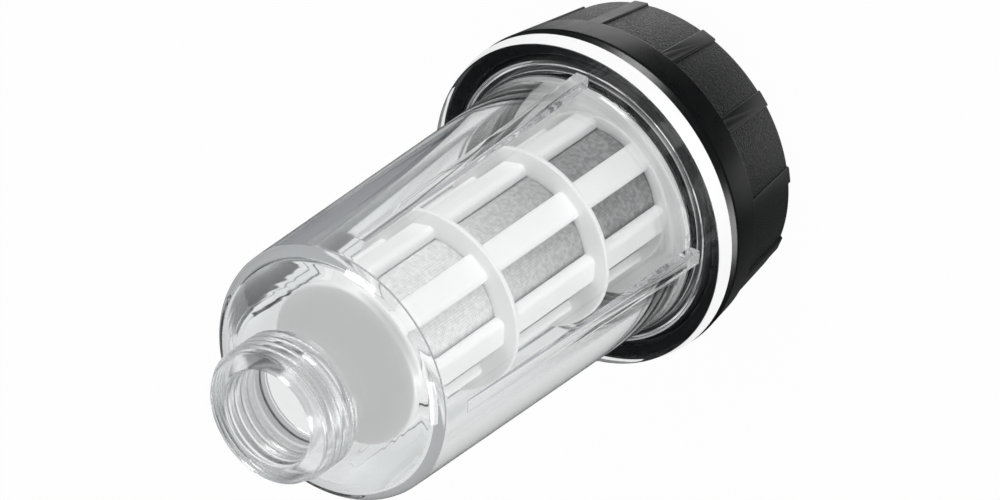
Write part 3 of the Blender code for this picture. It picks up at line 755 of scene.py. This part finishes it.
ground_look = ray_mix(tree, rays, ground_look, diffuse_glow.outputs[0], "Is Diffuse Ray")
ground_look = ray_mix(tree, rays, ground_look, through_glow.outputs[0], "Is Transmission Ray")
white_side = add_node(tree, "ShaderNodeMixShader", i0=camera_share.outputs[0], i1=ground_look, i2=white_glow.outputs[0])
tree.links.new(white_side.outputs[0], tree.nodes["Material Output"].inputs["Surface"])
ground = new_piece("ground", ground_mesh, white_ground)

# %% Room
world = bpy.data.worlds.new("studio_room")
bpy.context.scene.world = world
world.use_nodes = True
tree = world.node_tree
room = tree.nodes["Background"]
room.inputs["Strength"].default_value = 1.0
rays = add_node(tree, "ShaderNodeLightPath")
direction = add_node(tree, "ShaderNodeTexCoord").outputs["Generated"]
upward = add_node(tree, "ShaderNodeSeparateXYZ", Vector=direction).outputs["Z"]


def room_colour(low_colour, high_colour, start, stop):
    """A colour for the walls that turns into another one towards the ceiling."""
    share = add_node(tree, "ShaderNodeMapRange", Value=upward, From_Min=start, From_Max=stop).outputs[0]
    mix = add_node(tree, "ShaderNodeMix", {"data_type": 'RGBA'}, i0=share)
    mix.inputs[6].default_value = linear(low_colour)
    mix.inputs[7].default_value = linear(high_colour)
    return mix


wall_light = room_colour("#ebebeb", "#868787", 0.25, 0.95)
mirrored_wall = room_colour("#3c3e40", "#17181a", 0.1, 0.4)
wall_through = room_colour("#e8eaea", "#3a3c3e", 0.3, 0.5)
camera_wall = add_node(tree, "ShaderNodeRGB")
camera_wall.outputs[0].default_value = (1, 1, 1, 1)
look = ray_mix(tree, rays, wall_light.outputs[2], mirrored_wall.outputs[2], "Is Glossy Ray")
look = ray_mix(tree, rays, look, wall_through.outputs[2], "Is Transmission Ray")
look = ray_mix(tree, rays, look, camera_wall.outputs[0], "Is Camera Ray")
tree.links.new(look, room.inputs["Color"])


# %% Cards
def card(name, colour, middle, along, across, size_mm, in_gloss=True, through=True):
    """A card that only the plastic sees. middle, along and across use the photographer's directions."""
    def point(v):
        return TO_CAMERA * v[0] + TO_LEFT * v[1] + Vector((0, 0, v[2]))
    material = bpy.data.materials.new(name + "_paper")
    material.use_nodes = True
    tree = material.node_tree
    glow = add_node(tree, "ShaderNodeEmission", Color=linear(colour), Strength=1.0)
    tree.links.new(glow.outputs[0], tree.nodes["Material Output"].inputs["Surface"])
    bm = bmesh.new()
    bmesh.ops.create_grid(bm, x_segments=1, y_segments=1, size=0.5)
    x, y = point(along).normalized(), point(across).normalized()
    turn = Matrix((x * size_mm[0] * MM, y * size_mm[1] * MM, x.cross(y))).transposed().to_4x4()
    bmesh.ops.transform(bm, matrix=Matrix.Translation(point(middle) * MM) @ turn, verts=bm.verts)
    piece = new_piece(name, bm, material)
    piece.visible_camera = False
    piece.visible_diffuse = False
    piece.visible_shadow = False
    piece.visible_glossy = in_gloss
    piece.visible_transmission = through
    return piece


card("grey_card", "#54575a", (-190, 54, 0.5), (1, 0, 0), (0, 1, 0), (300, 18))
card("silver_card", "#96989b", (-190, 114, 0.5), (1, 0, 0), (0, 1, 0), (300, 102))
card("low_dark_card", "#25282a", (-133, 46, 1.0), (1, 0, 0), (0, 1, 0), (86, 18))
card("dark_card", "#55585a", (-60, 150, 90), (1, 0, 0), (0, 0, 1), (300, 200))


# %% Lamps
def soft_lamp(name, place_mm, size_mm, watts):
    """A soft box that looks at the middle of the filter, placed in the photographer's directions."""
    light = bpy.data.lights.new(name, 'AREA')
    light.shape = 'RECTANGLE'
    light.size, light.size_y = size_mm[0] * MM, size_mm[1] * MM
    light.energy = watts
    lamp = bpy.data.objects.new(name, light)
    bpy.context.scene.collection.objects.link(lamp)
    spot = (TO_CAMERA * place_mm[0] + TO_LEFT * place_mm[1] + Vector((0, 0, place_mm[2]))) * MM
    lamp.location = spot
    lamp.rotation_euler = (Vector((0, 0, 0.06)) - spot).to_track_quat('-Z', 'Y').to_euler()
    return lamp


soft_lamp("left_box", (450, 450, 250), (300, 300), 2.5)
soft_lamp("right_box", (300, -600, 200), (400, 300), 2.5)

# %% Camera
camera_data = bpy.data.cameras.new("camera")
camera_data.lens = 252.0
camera_data.sensor_width = 36.0
camera = bpy.data.objects.new("camera", camera_data)
bpy.context.scene.collection.objects.link(camera)
camera.location = (0.70843, -0.55814, 0.92259)
camera.rotation_euler = [math.radians(a) for a in (-30.668, 36.391, -83.286)]
bpy.context.scene.camera = camera

# %% Colour management
bpy.context.scene.view_settings.view_transform = 'Standard'
bpy.context.scene.cycles.max_bounces = 32
bpy.context.scene.cycles.transmission_bounces = 32
bpy.context.scene.cycles.glossy_bounces = 12
bpy.context.scene.cycles.transparent_max_bounces = 24
